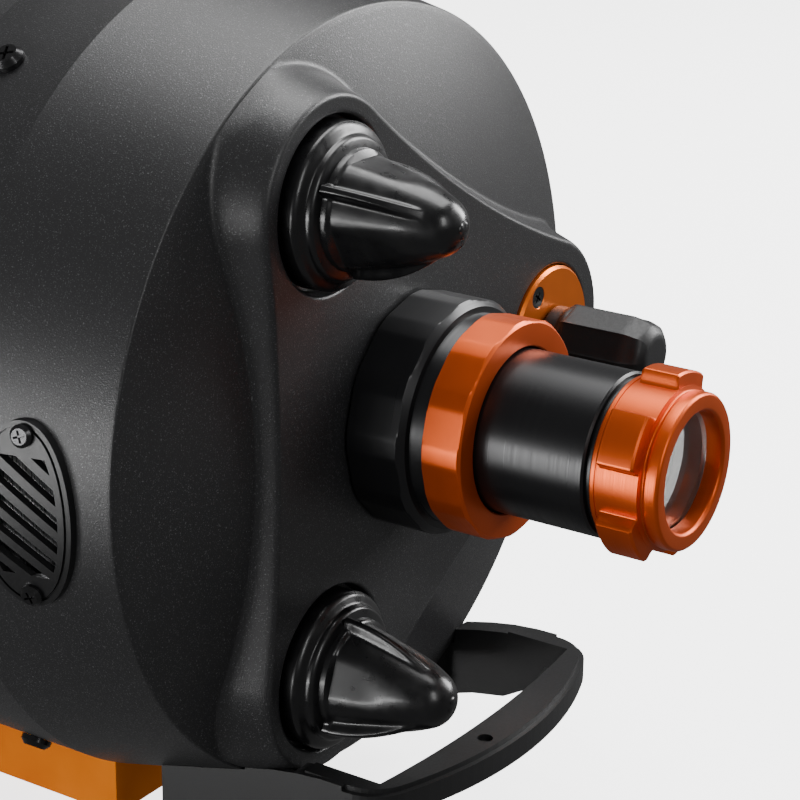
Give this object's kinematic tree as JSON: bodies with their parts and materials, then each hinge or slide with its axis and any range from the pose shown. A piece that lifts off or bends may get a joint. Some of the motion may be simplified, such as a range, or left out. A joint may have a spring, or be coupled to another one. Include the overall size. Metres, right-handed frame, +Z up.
{
  "type": "maksutov telescope",
  "caption": "Closed-tube telescope with a domed corrector, moving main mirror, rear focus and clutch knobs, carrying handle, mounting bar and threaded camera adapter.",
  "frame": {"origin": "centre of the underside of the mounting bar", "axes": "+Y along the tube toward the sky, +Z up, +X to the right seen from behind"},
  "size_m": [0.2416, 0.5042, 0.2559],
  "materials": {
    "charcoal_paint": "sparkle powder coat",
    "optical_glass": "clear, coated",
    "mirror_coat": "aluminised",
    "rubber": "matte",
    "black_anodised": "satin black anodised",
    "plain_aluminium": "machined",
    "brass": "machined",
    "steel": "plain",
    "orange_anodised": "orange anodised",
    "bar_orange": "orange",
    "gloss_black_plastic": "glossy",
    "black_plastic": "satin",
    "black_screws": "black oxide",
    "handle_black": "satin black"
  },
  "bodies": {
    "tube": {"rear_cell": "charcoal_paint", "main_tube": "charcoal_paint", "front_cell": "charcoal_paint", "meniscus_corrector": "optical_glass", "corrector_gasket": "rubber", "corrector_retaining_ring": "black_anodised", "secondary_spot": "mirror_coat", "secondary_baffle": "black_anodised", "baffle_tube": "black_anodised", "focus_bearing": "brass", "focus_plate": "orange_anodised", "focus_plate_screws": "black_screws", "clutch_bushes": "brass", "vent_grille_left": "black_plastic", "vent_grille_right": "black_plastic", "vent_mesh_left": "steel", "vent_mesh_right": "steel", "vent_screws": "black_screws", "rear_cell_screws": "black_screws", "front_cell_screws": "black_screws", "dovetail_bar": "bar_orange", "dovetail_bolts": "steel", "handle": "handle_black", "handle_screws": "black_screws", "port_ring": "black_anodised", "finder_shoe": "black_anodised", "finder_shoe_screws": "steel"},
    "mirror": {"primary_mirror": "mirror_coat", "mirror_carrier": "plain_aluminium", "mirror_retaining_ring": "black_anodised", "focus_nut": "brass", "clutch_rods": "steel"},
    "focus_drive": {"focus_screw": "steel", "focus_knob": "rubber"},
    "upper_clutch": {"upper_clutch_knob": "gloss_black_plastic"},
    "lower_clutch": {"lower_clutch_knob": "gloss_black_plastic"},
    "nut": {"coupling_nut": "orange_anodised"},
    "barrel": {"adapter_barrel": "black_anodised"},
    "camera_end": {"end_ring": "orange_anodised", "end_window": "optical_glass", "window_retainer": "plain_aluminium"}
  },
  "joints": [
    {"name": "focus_turn", "type": "hinge", "parent": "tube", "child": "focus_drive", "pos_m": [0.075, -0.246, 0.135], "axis": [0, -1, 0], "range_deg": [-3600, 3600]},
    {"name": "mirror_slide", "type": "slide", "parent": "tube", "child": "mirror", "axis": [0, 1, 0], "range_m": [-0.01, 0.01]},
    {"name": "upper_clutch_turn", "type": "hinge", "parent": "tube", "child": "upper_clutch", "pos_m": [-0.0375, -0.246, 0.19995], "axis": [0, -1, 0], "range_deg": [0, 360]},
    {"name": "lower_clutch_turn", "type": "hinge", "parent": "tube", "child": "lower_clutch", "pos_m": [-0.0375, -0.246, 0.07005], "axis": [0, -1, 0], "range_deg": [0, 360]},
    {"name": "coupling_nut_turn", "type": "hinge", "parent": "tube", "child": "nut", "pos_m": [0, -0.261, 0.135], "axis": [0, -1, 0], "range_deg": [0, 720]},
    {"name": "barrel_turn", "type": "hinge", "parent": "tube", "child": "barrel", "pos_m": [0, -0.276, 0.135], "axis": [0, -1, 0], "continuous": true},
    {"name": "end_ring_turn", "type": "hinge", "parent": "barrel", "child": "camera_end", "pos_m": [0, -0.306, 0.135], "axis": [0, -1, 0], "range_deg": [0, 720]}
  ],
  "couplings": [
    {"joint": "focus_turn", "follows": "mirror_slide", "rad_per_m": 6283.2}
  ]
}
